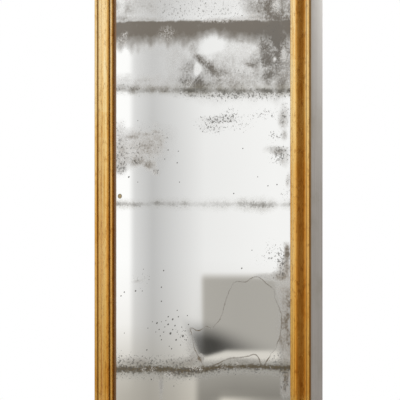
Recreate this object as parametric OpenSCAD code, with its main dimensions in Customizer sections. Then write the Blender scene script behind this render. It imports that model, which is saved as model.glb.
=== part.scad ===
// Tall pier mirror: a gilt reverse-ogee frame on a grey painted case, hung from two rings.
// Origin at the bottom centre of the whole, X to the right, the glass faces -Y, Z up, millimetres.

/* [Frame] */
// Width over the gilt moulding
frame_w = 760; // [640:10:900]
// Height over the gilt moulding
frame_h = 2130; // [1900:10:2400]
// Face of the moulding, from the sight edge to the outer edge
face_w = 68; // [64:1:76]

/* [Moulding profile] */
// Height of the ridge above the face of the glass
ridge_h = 16; // [14:0.5:19]
// Distance of the ridge from the sight edge
ridge_a = 19.5; // [18.5:0.5:23]
// Height of the bottom of the hollow above the glass
hollow_h = 1; // [0.5:0.25:3]
// Height of the lip at the outer edge above the glass
lip_h = 4.5; // [3.5:0.25:6]
// Radius of the lip
lip_r = 5; // [4:0.25:5.5]
// Radius of the small bead at the sight edge
sight_bead_r = 4; // [3:0.25:4]

/* [Mirror plate] */
// Thickness of the plate, and depth of the rebate that holds it
plate_t = 5; // [4:0.5:6]
// Width of the rebate behind the sight edge
rebate_w = 9; // [8:0.5:11]
// Gap between the edge of the plate and the rebate
plate_gap = 2; // [1:0.5:3]

/* [Case] */
// Depth of the case boards behind the moulding
case_d = 83; // [70:1:110]
// Thickness of the case boards
case_t = 18; // [15:1:22]
// Step from the edge of the moulding in to the case
case_inset = 3; // [1:0.5:6]

/* [Back] */
// Thickness of the inner frame that carries the moulding
subframe_t = 20; // [18:1:24]
// Thickness of the backboards
board_t = 10; // [8:1:12]
// Gap between one backboard and the next
board_gap = 1.5; // [1:0.5:3]
// Thickness of the cross rails
rail_t = 22; // [20:1:26]
// Height of the rail that carries the hangers
hanging_rail_h = 100; // [95:5:120]
// Height of the two plain rails
plain_rail_h = 70; // [60:5:100]
// From the top of the frame down to the middle of the hanging rail
hanging_drop = 380; // [300:10:450]

/* [Hangers] */
// Distance between the two hangers
hanger_spread = 440; // [300:10:500]
// Radius of the ring's wire
ring_wire_r = 3; // [2.5:0.25:3.5]
// Half the width of the ring, between the middles of its legs
ring_half_w = 20; // [18:1:22]

/* [Hidden] */
$fn = 48;

// Heights of the backboards from the bottom up, as sawn; their sum is stretched to the case
board_heights = [176, 171, 171, 170, 171, 171, 175, 176, 206, 180, 170, 147];
board_count = len(board_heights);

function board_name(i) = str("backboard_", i + 1);

// The four sides of the frame, counted anticlockwise as seen from the front
BOTTOM = 0;
RIGHT = 1;
TOP = 2;
LEFT = 3;

gilt = "#c8974c";
pine = "#b98f5d";
oak = "#8a6238";
grey_paint = "#a5a29b";
silvered_glass = "#d5d7d5";
iron = "#4b4845";

// Depths, from front to back
depth = ridge_h + plate_t + case_d;
face_y = -depth / 2 + ridge_h;
seat_y = face_y + plate_t;
subframe_back_y = seat_y + subframe_t;
board_back_y = subframe_back_y + board_t;
rail_back_y = board_back_y + rail_t;

// Places across a side, from its outer edge in
case_in = case_inset + case_t;
rebate_in = face_w - rebate_w;
subframe_w = rebate_in - case_in;
corner_rebate = case_t / 2;
inner_half_w = frame_w / 2 - case_in;
inner_bottom = case_in;
inner_top = frame_h - case_in;

// Moulding profile
sight_bead_a = sight_bead_r + 1;
sight_bead_h = 9.5;
quirk_w = 1;
quirk_h = 10;
ridge_r = 18;
ridge_start = ridge_a - sight_bead_a - sight_bead_r - quirk_w - 0.5;
hollow_a = face_w - 14;
ogee_run = hollow_a - ridge_a;
ogee_fall = ridge_h - hollow_h;
ogee_lag = 1.45;
lip_a = face_w - lip_r;
lip_turn = 2 * atan((lip_h - hollow_h) / (lip_a - hollow_a));
hollow_r = (lip_a - hollow_a) / sin(lip_turn) - lip_r;
bead_steps = 12;
ridge_steps = 8;
ogee_steps = 16;
lip_steps = 12;

// Joinery
key_t = 3;
key_leg = 40;
key_back = 1;
block_leg = 14;
block_l = 50;
corner_leg = 45;
corner_block_d = 45;
setting_l = 40;
board_clear = 2;

// Fasteners: shank radius, length, and how far in from the outer edge they stand
moulding_screw_r = 2;
moulding_screw_l = 29;
moulding_screw_in = 50;
case_screw_r = 2;
case_screw_l = 52;
rail_screw_r = 2.5;
rail_screw_l = 45;
rail_screw_in = 30;
hanger_screw_r = 2;
hanger_screw_l = 20;
nail_l = 22;
nail_in = 40;
nail_head = [5.5, 4, 1.5];
nail_shank = [3, 2.2];
screw_head = 1.3;
slot_w = 1.2;
slot_d = 1.2;

// Hangers
hanger_plate_size = [34, 80, 3];
plate_corner_r = 6;
plate_rise = 12;
ring_stand = 8.5;
lug_w = 14;
lug_r = 6.2;
ring_clear = 0.05;
ring_corner_r = 6;
ring_leg = 14;
hanger_holes = [[-7, -16], [7, -30], [-7, -44], [7, -58]];
hanging_rail_z = frame_h - hanging_drop;
ring_z = hanging_rail_z + 22;

// Points of an arc about (x, y) from one angle to another; first = 1 leaves out the starting point
function arc(x, y, r, from, to, steps, first = 0) =
    [for (i = [first : steps]) let (t = from + (to - from) * i / steps) [x + r * cos(t), y + r * sin(t)]];

// So many places spread evenly between -reach and reach
function spread(count, reach) = [for (i = [0 : count - 1]) reach * (2 * i / (count - 1) - 1)];

// The reverse ogee from the ridge to the hollow: half a wave that falls late, so its round part is long
function ogee() =
    [for (i = [1 : ogee_steps - 1]) let (t = i / ogee_steps)
        [ridge_a + ogee_run * t, hollow_h + ogee_fall * (1 + cos(180 * pow(t, ogee_lag))) / 2]];

// Section of the moulding: distance from the sight edge, height above the glass.
// The hollow and the lip are two arcs that meet on one slope.
function moulding_outline() = concat(
    [[rebate_w, 0], [0, 0]],
    arc(sight_bead_a, sight_bead_h, sight_bead_r, 180, 0, bead_steps),
    [[sight_bead_a + sight_bead_r + quirk_w, quirk_h]],
    arc(ridge_a, ridge_h - ridge_r, ridge_r, 90 + asin(ridge_start / ridge_r), 90, ridge_steps),
    ogee(),
    arc(hollow_a, hollow_h + hollow_r, hollow_r, 270, 270 + lip_turn, 4),
    arc(lip_a, lip_h - lip_r, lip_r, 90 + lip_turn, 0, lip_steps, first = 1),
    [[face_w, -plate_t], [rebate_w, -plate_t]]
);

function side_length(side) = side % 2 == 0 ? frame_w : frame_h;
function half_across(side) = side % 2 == 0 ? frame_h / 2 : frame_w / 2;
function is_stile(side) = side % 2 == 1;

// Bottom edge of a backboard, or the top of the stack for the last count
function stacked(i) = i == 0 ? 0 : board_heights[i - 1] + stacked(i - 1);
function board_z(i) =
    inner_bottom + board_clear
    + stacked(i) * (inner_top - inner_bottom - 2 * board_clear) / stacked(board_count);

// The backboards nailed to a member of the inner frame, and the ends that go into it
function boards_nailed_to(side) =
    is_stile(side) ? [for (i = [0 : board_count - 1]) i] : [side == BOTTOM ? 0 : board_count - 1];
function ends_nailed_to(side) = side == LEFT ? [-1] : side == RIGHT ? [1] : [-1, 1];

// Where the fasteners and blocks stand along a side, from its middle
function moulding_screw_places(side) =
    is_stile(side) ? spread(5, frame_h / 2 - 110) : spread(3, frame_w / 2 - 180);
function case_screw_places(side) =
    is_stile(side) ? spread(4, frame_h / 2 - 180) : spread(2, frame_w / 2 - 280);
function glazing_block_places(side) =
    is_stile(side) ? spread(6, frame_h / 2 - 300) : spread(2, frame_w / 2 - 220);

// A side's own frame: X along it, Y from its outer edge inwards, Z out of the glass to the front
module on_side(side) {
    translate([0, face_y, frame_h / 2]) rotate([90, 0, 0]) rotate([0, 0, 90 * side])
        translate([0, -half_across(side), 0]) children();
}

// Slotted countersunk screw, its head's face at the origin, pointing down
module screw_body(r, length) {
    rotate_extrude() polygon([
        [0, 0], [2 * r, 0], [r, -screw_head * r], [r, -length + 2 * r], [0, -length]
    ]);
}

module screw(r, length) {
    difference() {
        screw_body(r, length);
        translate([-3 * r, -slot_w / 2, -slot_d]) cube([6 * r, slot_w, slot_d + 1]);
    }
}

// Cut nail with a flat head, its head's face at the origin, pointing down
module cut_nail() {
    translate([-nail_head[0] / 2, -nail_head[1] / 2, -nail_head[2]]) cube(nail_head);
    translate([-nail_shank[0] / 2, -nail_shank[1] / 2, -nail_l])
        cube([nail_shank[0], nail_shank[1], nail_l - nail_head[2]]);
}

module key_shape(side) {
    translate([-side_length(side) / 2, 0, key_back - plate_t]) linear_extrude(key_t)
        polygon([[0, 0], [key_leg, 0], [0, key_leg]]);
}

// Puts its children at each screw that holds the moulding of one side, in the side's own frame
module at_moulding_screws(side) {
    for (x = moulding_screw_places(side))
        translate([x, moulding_screw_in, -plate_t - subframe_t]) rotate([180, 0, 0]) children();
}

// The same for the screws driven outwards from behind the glass into a case board
module at_case_screws(side) {
    for (x = case_screw_places(side))
        translate([x, rebate_in, -plate_t - subframe_t / 2]) rotate([-90, 0, 0]) children();
}

module at_board_nails(i, ends = [-1, 1]) {
    low = board_z(i);
    high = board_z(i + 1) - board_gap;
    for (end = ends, z = [low + 30, high - 30])
        translate([end * (frame_w / 2 - nail_in), board_back_y, z]) rotate([-90, 0, 0]) children();
}

module at_rail_screws(z, rail_h, ends = [-1, 1]) {
    for (end = ends, up = [-1, 1])
        translate([end * (frame_w / 2 - rail_screw_in), rail_back_y, z + up * (rail_h / 2 - 20)])
            rotate([-90, 0, 0]) children();
}

// All three rails' screws
module at_all_rail_screws(ends = [-1, 1]) {
    at_rail_screws(hanging_rail_z, hanging_rail_h, ends) children();
    at_rail_screws(frame_h / 2, plain_rail_h, ends) children();
    at_rail_screws(hanging_drop, plain_rail_h, ends) children();
}

// Gilt moulding: one length of the profile, mitred at both ends, slotted for its keys
module moulding(side) {
    length = side_length(side);
    color(gilt) on_side(side) difference() {
        intersection() {
            rotate([90, 0, 90]) linear_extrude(length, center = true)
                polygon([for (p = moulding_outline()) [face_w - p[0], p[1]]]);
            translate([0, 0, -plate_t - 1]) linear_extrude(plate_t + ridge_h + 2) polygon([
                [-length / 2, 0], [length / 2, 0],
                [length / 2 - face_w, face_w], [face_w - length / 2, face_w]
            ]);
        }
        for (end = [0, 1]) mirror([end, 0, 0]) key_shape(side);
        at_moulding_screws(side) screw_body(moulding_screw_r, moulding_screw_l);
    }
}

module mitre_keys() {
    color(oak) for (side = [BOTTOM : LEFT]) on_side(side) key_shape(side);
}

module moulding_screws() {
    color(iron) for (side = [BOTTOM : LEFT])
        on_side(side) at_moulding_screws(side) screw(moulding_screw_r, moulding_screw_l);
}

// Inner frame, half-lapped at its corners: the stiles keep the front half, the rails the back half
module subframe_member(side) {
    length = side_length(side) - 2 * case_in;
    lap_z = is_stile(side) ? -plate_t - subframe_t : -plate_t - subframe_t / 2;
    color(pine) difference() {
        on_side(side) difference() {
            translate([-length / 2, case_in, -plate_t - subframe_t])
                cube([length, subframe_w, subframe_t]);
            for (end = [0, 1]) mirror([end, 0, 0])
                translate([-length / 2, case_in, lap_z]) cube([subframe_w, subframe_w, subframe_t / 2]);
            at_moulding_screws(side) screw_body(moulding_screw_r, moulding_screw_l);
            at_case_screws(side) screw_body(case_screw_r, case_screw_l);
        }
        for (i = boards_nailed_to(side)) at_board_nails(i, ends_nailed_to(side)) cut_nail();
        if (is_stile(side))
            at_all_rail_screws(ends_nailed_to(side)) screw_body(rail_screw_r, rail_screw_l);
    }
}

// Case: the sides run the full height, rebated for the ends of the top and bottom boards
module case_board(side) {
    inset = is_stile(side) ? case_inset : case_inset + corner_rebate;
    length = side_length(side) - 2 * inset;
    color(grey_paint) on_side(side) difference() {
        translate([-length / 2, case_inset, -plate_t - case_d]) cube([length, case_t, case_d]);
        if (is_stile(side)) for (end = [0, 1]) mirror([end, 0, 0])
            translate([-length / 2, case_in - corner_rebate, -plate_t - case_d])
                cube([case_t, corner_rebate, case_d]);
        at_case_screws(side) screw_body(case_screw_r, case_screw_l);
    }
}

module case_screws() {
    color(iron) for (side = [BOTTOM : LEFT])
        on_side(side) at_case_screws(side) screw(case_screw_r, case_screw_l);
}

// Triangular blocks glued into the corners of the case behind the backboards
module corner_blocks() {
    color(pine) for (side = [BOTTOM : LEFT]) on_side(side)
        translate([case_in - side_length(side) / 2, case_in, face_y - board_back_y - corner_block_d])
            linear_extrude(corner_block_d)
                polygon([[0, 0], [corner_leg, 0], [0, corner_leg]]);
}

// Silvered plate, held in the rebate
module mirror_plate() {
    edge = rebate_in + plate_gap;
    color(silvered_glass) translate([edge - frame_w / 2, face_y, edge])
        cube([frame_w - 2 * edge, plate_t, frame_h - 2 * edge]);
}

// Two slips that the plate stands on
module setting_blocks() {
    color(oak) for (end = [0, 1]) mirror([end, 0, 0])
        translate([frame_w / 4 - setting_l / 2, face_y, rebate_in]) cube([setting_l, plate_t, plate_gap]);
}

// Blocks glued to the inner frame behind the plate, which keep it in the rebate
module glazing_blocks() {
    color(pine) for (side = [BOTTOM : LEFT], x = glazing_block_places(side)) on_side(side)
        translate([x - block_l / 2, rebate_in, -plate_t]) rotate([90, 0, 90]) linear_extrude(block_l)
            polygon([[0, 0], [block_leg, 0], [block_leg, -3], [3, -block_leg], [0, -block_leg]]);
}

module backboard(i) {
    length = 2 * (inner_half_w - 1);
    color(pine) difference() {
        translate([-length / 2, subframe_back_y, board_z(i)])
            cube([length, board_t, board_z(i + 1) - board_z(i) - board_gap]);
        at_board_nails(i) cut_nail();
        at_all_rail_screws() screw_body(rail_screw_r, rail_screw_l);
    }
}

module backboard_nails() {
    color(iron) for (i = [0 : board_count - 1]) at_board_nails(i) cut_nail();
}

module cross_rail(z, rail_h) {
    color(pine) difference() {
        translate([-inner_half_w, board_back_y, z - rail_h / 2]) cube([2 * inner_half_w, rail_t, rail_h]);
        at_rail_screws(z, rail_h) screw_body(rail_screw_r, rail_screw_l);
        for (x = [-1, 1]) at_hanger(x) at_hanger_screws() screw_body(hanger_screw_r, hanger_screw_l);
    }
}

module rail_screws() {
    color(iron) at_all_rail_screws() screw(rail_screw_r, rail_screw_l);
}

// A hanger's own frame: X along the ring's bar, Y out of the rail towards the wall, Z up.
// The left one mirrors the right one.
module at_hanger(x) {
    mirror([x < 0 ? 1 : 0, 0, 0]) translate([hanger_spread / 2, rail_back_y, ring_z]) children();
}

module at_hanger_screws() {
    for (p = hanger_holes) translate([p[0], hanger_plate_size[2], p[1]]) rotate([-90, 0, 0]) children();
}

// Outline of the hanger's plate, one rounded corner after the other
function plate_corners() =
    [for (turn = [0 : 3]) let (
        x = (turn == 0 || turn == 3 ? 1 : -1) * (hanger_plate_size[0] / 2 - plate_corner_r),
        z = (turn < 2 ? 1 : -1) * (hanger_plate_size[1] / 2 - plate_corner_r)
    ) each arc(x, z, plate_corner_r, 90 * turn, 90 * turn + 90, 6)];

// Iron plate with a lug that is bored for the ring's bar
module hanger_plate(x) {
    color(iron) at_hanger(x) difference() {
        union() {
            translate([0, hanger_plate_size[2], plate_rise - hanger_plate_size[1] / 2])
                rotate([90, 0, 0]) linear_extrude(hanger_plate_size[2]) polygon(plate_corners());
            translate([-lug_w / 2, 0, 0]) rotate([90, 0, 90]) linear_extrude(lug_w)
                polygon(concat([[1, -11]], arc(ring_stand, 0, lug_r, -75, 75, 14), [[1, 9]]));
        }
        rotate([0, 90, 0]) translate([0, ring_stand, 0])
            cylinder(h = lug_w + 2, r = ring_wire_r + ring_clear, center = true);
        at_hanger_screws() screw_body(hanger_screw_r, hanger_screw_l);
    }
}

module hanger_screws() {
    color(iron) for (x = [-1, 1])
        at_hanger(x) at_hanger_screws() screw(hanger_screw_r, hanger_screw_l);
}

// Round wire bent to a D: a straight bar through the lug, two legs and a half-round bow
module hanger_ring(x) {
    bar_half = ring_half_w - ring_corner_r;
    color(iron) at_hanger(x) translate([0, ring_stand, 0]) rotate([90, 0, 0]) {
        rotate([0, 90, 0]) cylinder(h = 2 * bar_half, r = ring_wire_r, center = true);
        for (end = [0, 1]) mirror([end, 0, 0]) {
            translate([bar_half, -ring_corner_r, 0]) rotate_extrude(angle = 90)
                translate([ring_corner_r, 0]) circle(ring_wire_r);
            translate([ring_half_w, -ring_corner_r, 0]) rotate([90, 0, 0])
                cylinder(h = ring_leg, r = ring_wire_r);
        }
        translate([0, -ring_corner_r - ring_leg, 0]) rotate([0, 0, 180]) rotate_extrude(angle = 180)
            translate([ring_half_w, 0]) circle(ring_wire_r);
    }
}

moulding(BOTTOM);  // bottom_moulding
moulding(RIGHT);  // right_moulding
moulding(TOP);  // top_moulding
moulding(LEFT);  // left_moulding
mitre_keys();
subframe_member(BOTTOM);  // subframe_bottom_rail
subframe_member(RIGHT);  // subframe_right_stile
subframe_member(TOP);  // subframe_top_rail
subframe_member(LEFT);  // subframe_left_stile
case_board(BOTTOM);  // case_bottom_board
case_board(RIGHT);  // case_right_side
case_board(TOP);  // case_top_board
case_board(LEFT);  // case_left_side
corner_blocks();
mirror_plate();
setting_blocks();
glazing_blocks();
for (i = [0 : board_count - 1])
    backboard(i);
cross_rail(hanging_rail_z, hanging_rail_h);  // hanging_rail
cross_rail(frame_h / 2, plain_rail_h);  // middle_rail
cross_rail(hanging_drop, plain_rail_h);  // lower_rail
moulding_screws();
case_screws();
backboard_nails();
rail_screws();
hanger_screws();
hanger_plate(-1);  // hanger_plate_left
hanger_plate(1);  // hanger_plate_right
hanger_ring(-1);  // hanger_ring_left
hanger_ring(1);  // hanger_ring_right
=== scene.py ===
# %% [markdown]
# # A gilt pier mirror
#
# This notebook dresses a tall pier mirror. The construction is already settled: a mitred gilt moulding,
# a silvered plate in its rebate, an inner frame, a deep painted case, backboards and two hanging rings.
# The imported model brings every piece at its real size, so the first step loads it and the rest works
# around it. Whatever has the right shape keeps its mesh and gets a finish; the moulding and the plate are
# modelled again, because their surfaces are what the eye looks at.

# %% Load the model and keep its size
import math

import bpy
import numpy as np
from mathutils import Matrix, Vector, noise


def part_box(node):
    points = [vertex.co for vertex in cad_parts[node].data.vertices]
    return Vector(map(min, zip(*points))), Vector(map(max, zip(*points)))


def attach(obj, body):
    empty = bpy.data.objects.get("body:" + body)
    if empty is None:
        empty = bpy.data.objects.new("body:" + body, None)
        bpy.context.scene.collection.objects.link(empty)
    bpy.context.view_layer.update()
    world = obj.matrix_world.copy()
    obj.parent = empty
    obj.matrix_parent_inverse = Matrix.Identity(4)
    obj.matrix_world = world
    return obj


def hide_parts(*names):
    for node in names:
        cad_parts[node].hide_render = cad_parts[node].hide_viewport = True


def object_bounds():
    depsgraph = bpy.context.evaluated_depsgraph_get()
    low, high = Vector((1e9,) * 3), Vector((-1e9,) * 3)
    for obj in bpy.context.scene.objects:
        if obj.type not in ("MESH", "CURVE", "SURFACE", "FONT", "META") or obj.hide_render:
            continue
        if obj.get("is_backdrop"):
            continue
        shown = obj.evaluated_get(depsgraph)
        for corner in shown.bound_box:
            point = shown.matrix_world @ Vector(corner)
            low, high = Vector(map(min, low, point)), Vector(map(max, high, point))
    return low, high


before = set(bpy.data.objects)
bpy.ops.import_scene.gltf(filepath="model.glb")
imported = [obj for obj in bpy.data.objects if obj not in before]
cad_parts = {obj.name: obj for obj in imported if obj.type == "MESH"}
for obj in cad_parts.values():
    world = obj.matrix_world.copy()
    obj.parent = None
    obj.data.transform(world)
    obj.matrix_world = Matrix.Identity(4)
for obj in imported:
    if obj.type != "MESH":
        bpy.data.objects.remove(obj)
cad_low, cad_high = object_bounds()

MM = 0.001
plate_low, plate_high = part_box("mirror_plate")
mould_low, mould_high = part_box("left_moulding")
FACE_Y = plate_low.y
MID_Z = (cad_low.z + cad_high.z) / 2
FRAME_W = cad_high.x - cad_low.x
FRAME_H = cad_high.z - cad_low.z
print(f"frame {FRAME_W / MM:.0f} x {FRAME_H / MM:.0f} mm, glass at y {FACE_Y / MM:.1f} mm")


# %% [markdown]
# ## A few small helpers
#
# Colours are written as people write them, as sRGB hex values, and one function turns them to the linear
# values that a renderer adds up. Shaders are built from nodes. One function adds any node, sets it, feeds
# its sockets and gives back its first output, so nodes chain like sums. A pattern that is to be so many
# millimetres wide needs a scale of one over that size in metres. Operators act on whatever is selected, so
# each new piece starts from an empty selection.

# %% Helpers
def linear(hex_colour):
    """An sRGB hex colour as linear red, green, blue and alpha."""
    values = [int(hex_colour[i:i + 2], 16) / 255 for i in (1, 3, 5)]
    return tuple(v / 12.92 if v <= 0.04045 else ((v + 0.055) / 1.055) ** 2.4 for v in values) + (1.0,)


def per_mm(*sizes):
    """The scale of a pattern whose features are this many millimetres across, or one scale for each axis."""
    scales = tuple(1 / (size * MM) for size in sizes)
    return scales if len(scales) > 1 else scales[0]


def add(tree, kind, sockets=None, stops=(), **settings):
    """Add a shader node, set it, feed its sockets values or links, give its ramp stops; gives its output."""
    made = tree.nodes.new("ShaderNode" + kind)
    for name, value in settings.items():
        setattr(made, name, value)
    for socket, value in (sockets or {}).items():
        if isinstance(value, bpy.types.NodeSocket):
            tree.links.new(value, made.inputs[socket])
        else:
            made.inputs[socket].default_value = value
    for i, (position, hex_colour) in enumerate(stops):
        ramp = made.color_ramp.elements
        stop = ramp[i] if i < 1 else ramp[-1] if i == len(stops) - 1 else ramp.new(position)
        stop.position, stop.color = position, linear(hex_colour)
    return next((output for output in made.outputs if output.enabled), None)


def new_material(name):
    """A material with an empty tree of nodes."""
    material = bpy.data.materials.new(name)
    material.use_nodes = True
    material.node_tree.nodes.clear()
    return material, material.node_tree


def clear_selection():
    """Deselect everything, so that an operator acts only on what is made next."""
    if bpy.context.object and bpy.context.object.mode != "OBJECT":
        bpy.ops.object.mode_set(mode="OBJECT")
    bpy.ops.object.select_all(action="DESELECT")


print(f"the sRGB grey #808080 is {linear('#808080')[0]:.3f} in linear light")

# %% [markdown]
# ## The camera
#
# The picture is a close crop of the middle of a tall mirror, taken from its right with a very long lens:
# the uprights stay parallel, the near one is no wider than the far one, and the side of the case just
# shows. The camera stands level with the middle of the glass, so no shift is needed.

# %% Camera
CAMERA_TURN = math.radians(28)
CAMERA_AWAY = 30.0
FIELD_W = 1.2453
AIM = Vector((-7.2 * MM, FACE_Y, MID_Z))

back = Vector((math.sin(CAMERA_TURN), -math.cos(CAMERA_TURN), 0))
camera_data = bpy.data.cameras.new("camera")
camera_data.sensor_width = 36
camera_data.lens = camera_data.sensor_width * CAMERA_AWAY / FIELD_W
camera_data.clip_end = 100
camera = bpy.data.objects.new("camera", camera_data)
camera.location = AIM + back * CAMERA_AWAY
camera.rotation_euler = (-back).to_track_quat("-Z", "Y").to_euler()
bpy.context.scene.collection.objects.link(camera)
bpy.context.scene.camera = camera
print(f"lens {camera_data.lens:.0f} mm, camera at {tuple(round(v, 2) for v in camera.location)}")

# %% [markdown]
# ## The moulding
#
# The frame is a reverse ogee: high at the glass, falling outwards. From the sight edge it has a small
# ovolo, a sharp quirk, a rounded ridge, the long S of the ogee, a tight hollow and a flat lip. Such a
# moulding is planed from pine, covered with gesso and recut by hand, so its lines waver by a fraction of a
# millimetre. A curve object could sweep the section, but cutting the mitres is plainer on a mesh: a circle
# is bent to the section, extruded to the length of a side, cut across every few millimetres and sawn off
# at forty-five degrees with bisect.

# %% Sizes of the section
FACE_W = mould_high.x - mould_low.x
RIDGE_H = FACE_Y - mould_low.y
BACK_H = FACE_Y - mould_high.y
REBATE_W = 9 * MM
OVOLO_R, OVOLO_A, OVOLO_H = 5 * MM, 5.4 * MM, 3.6 * MM
FILLET_A, QUIRK_A, QUIRK_H = 9.3 * MM, 10 * MM, 7.4 * MM
RIDGE_R, RIDGE_A, RIDGE_START = 18 * MM, 20.8 * MM, 10 * MM
HOLLOW_A, HOLLOW_H = FACE_W - 14 * MM, 2 * MM
OGEE_LAG = 1.06
LIP_R, LIP_H = 3.8 * MM, 5.4 * MM
LIP_A, LIP_END = FACE_W - 8.4 * MM, FACE_W - LIP_R
print(f"face {FACE_W / MM:.0f} mm wide, ridge {RIDGE_H / MM:.0f} mm over the glass")


# %% Section of the moulding
def arc(x, y, radius, start, end, steps):
    """Points of an arc, with its angles in degrees."""
    angles = [math.radians(start + (end - start) * i / steps) for i in range(steps + 1)]
    return [(x + radius * math.cos(t), y + radius * math.sin(t)) for t in angles]


def ogee(steps):
    """The S from the ridge down to the hollow: half a wave that falls late."""
    run, fall = HOLLOW_A - RIDGE_A, RIDGE_H - HOLLOW_H
    return [(RIDGE_A + run * i / steps,
             HOLLOW_H + fall * (1 + math.cos(math.pi * (i / steps) ** OGEE_LAG)) / 2)
            for i in range(1, steps)]


lip_turn = 2 * math.atan((LIP_H - HOLLOW_H) / (LIP_A - HOLLOW_A))
hollow_r = (LIP_A - HOLLOW_A) / math.sin(lip_turn) - LIP_R
section = (
    [(REBATE_W, 0), (0, 0)]
    + arc(OVOLO_A, OVOLO_H, OVOLO_R, 180, 90, 10)
    + [(FILLET_A, OVOLO_H + OVOLO_R), (QUIRK_A - 0.3 * MM, QUIRK_H), (QUIRK_A, QUIRK_H)]
    + arc(RIDGE_A, RIDGE_H - RIDGE_R, RIDGE_R, 90 + math.degrees(math.asin(RIDGE_START / RIDGE_R)), 90, 10)
    + ogee(22)
    + arc(HOLLOW_A, HOLLOW_H + hollow_r, hollow_r, 270, 270 + math.degrees(lip_turn), 5)
    + arc(LIP_A, LIP_H - LIP_R, LIP_R, 90 + math.degrees(lip_turn), 90, 7)[1:]
    + arc(LIP_END, LIP_H - LIP_R, LIP_R, 90, 0, 8)
    + [(FACE_W, BACK_H), (REBATE_W, BACK_H)]
)
print(len(section), "points round the section, lip turns", round(math.degrees(lip_turn)), "degrees")

# %% [markdown]
# Each vertex also remembers where it is in the gilder's terms: how far along the length, how far across
# the face and how high over the glass. A second note says how exposed the place is, which wears it, and how
# recessed, which darkens it with dirt and painted shade. The finish is painted with those numbers, so its
# streaks follow the moulding round the mitres.

# %% Cut a length
STATION = 6 * MM
SIDE_TURN = {"bottom_moulding": 0, "right_moulding": 90, "top_moulding": 180, "left_moulding": 270}
KEY_LEG, KEY_T, KEY_MIDDLE = 40 * MM, 3 * MM, -2.5 * MM


def select_long_edges(piece):
    """Select the edges that run along the length, by their direction."""
    bpy.ops.mesh.select_all(action="DESELECT")
    bpy.ops.mesh.select_mode(type="EDGE")
    bpy.ops.object.mode_set(mode="OBJECT")
    vertices = piece.data.vertices
    for edge in piece.data.edges:
        start, end = (vertices[i].co for i in edge.vertices)
        edge.select = abs(end.x - start.x) > 0.9 * (end - start).length
    bpy.ops.object.mode_set(mode="EDIT")


def saw(point, normal):
    """Cut away the end of the length beyond a plane and close the cut."""
    bpy.ops.mesh.select_all(action="SELECT")
    bpy.ops.mesh.bisect(plane_co=point, plane_no=normal, use_fill=True, clear_outer=True)


def slot_for_keys(piece, length):
    """Saw the slots for the corner slips: a square plate turned to 45 degrees takes both legs."""
    for end in (-length / 2, length / 2):
        clear_selection()
        bpy.ops.mesh.primitive_cube_add(size=1, location=(end, 0, KEY_MIDDLE), rotation=(0, 0, math.pi / 4))
        blade = bpy.context.object
        blade.scale = (KEY_LEG * math.sqrt(2), KEY_LEG * math.sqrt(2), KEY_T)
        clear_selection()
        bpy.context.view_layer.objects.active = piece
        cut = piece.modifiers.new("slot", "BOOLEAN")
        cut.object, cut.operation, cut.solver = blade, "DIFFERENCE", "EXACT"
        bpy.ops.object.modifier_apply(modifier=cut.name)
        bpy.data.meshes.remove(blade.data)


print(f"corner slips {KEY_T / MM:.0f} mm thick, with legs of {KEY_LEG / MM:.0f} mm")


# %% Run one length
def run_moulding(length):
    """One mitred length of moulding in its own frame: X along it, Y inwards, Z out to the front."""
    clear_selection()
    bpy.ops.mesh.primitive_circle_add(vertices=len(section), radius=FACE_W, fill_type="NGON")
    piece = bpy.context.object
    for vertex, (a, h) in zip(piece.data.vertices, section):
        vertex.co = (-length / 2, FACE_W - a, h)
    bpy.ops.object.mode_set(mode="EDIT")
    bpy.ops.mesh.select_all(action="SELECT")
    bpy.ops.mesh.extrude_region_move(TRANSFORM_OT_translate={"value": (length, 0, 0)})
    for _ in range(2):      # twice, because one subdivide makes a hundred cuts at most
        select_long_edges(piece)
        bpy.ops.mesh.subdivide(number_cuts=round(math.sqrt(length / STATION)) - 1)
    saw((-length / 2, 0, 0), (-1, 1, 0))
    saw((length / 2, 0, 0), (1, 1, 0))
    bpy.ops.mesh.select_all(action="SELECT")
    bpy.ops.mesh.normals_make_consistent(inside=False)
    bpy.ops.object.mode_set(mode="OBJECT")
    slot_for_keys(piece, length)
    return piece


print(f"lengths are cut across every {STATION / MM:.0f} mm or so")

# %% Recut the gesso
WAVER = 0.22 * MM
WAVES_ALONG, WAVES_ACROSS = 18, 60              # per metre
TURN_PER_METRE = 41         # so that each length gets its own stretch of every pattern
CREASE = 32
# the outer wall is square and flat, and the waver starts a little over the glass
WALL_W, WALL_TOP, WAVER_FROM = 0.4 * MM, 0.5 * MM, 1.5 * MM
# how worn each place is, and how much dirt and painted shade darken it, by millimetres across the face from the
# sight edge
EXPOSED = [(0, 0.4), (5, 0.3), (8.5, 0.3), (11, 0.2), (15, 0.4), (20, 0.3), (30, 0.1), (54, 0), (60, 0.2),
           (64, 0.4), (67, 0.3)]
DARK_IN_RECESSES = [(0, 0.1), (0.8, 0.05), (2, 0), (8.9, 0), (9.6, 0.7), (10, 0.9), (10.4, 0.6), (11.5, 0), (51, 0),
             (53, 0.5), (57, 0.5), (58.5, 0.1), (65, 0.1), (66.5, 0.5), (68, 0.9)]


def side_place(turn):
    """Where a side's own frame lies in the whole mirror."""
    across = FRAME_H / 2 if turn % 180 == 0 else FRAME_W / 2
    return (Matrix.Translation((0, FACE_Y, MID_Z)) @ Matrix.Rotation(math.pi / 2, 4, "X")
            @ Matrix.Rotation(math.radians(turn), 4, "Z") @ Matrix.Translation((0, -across, 0)))


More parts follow.
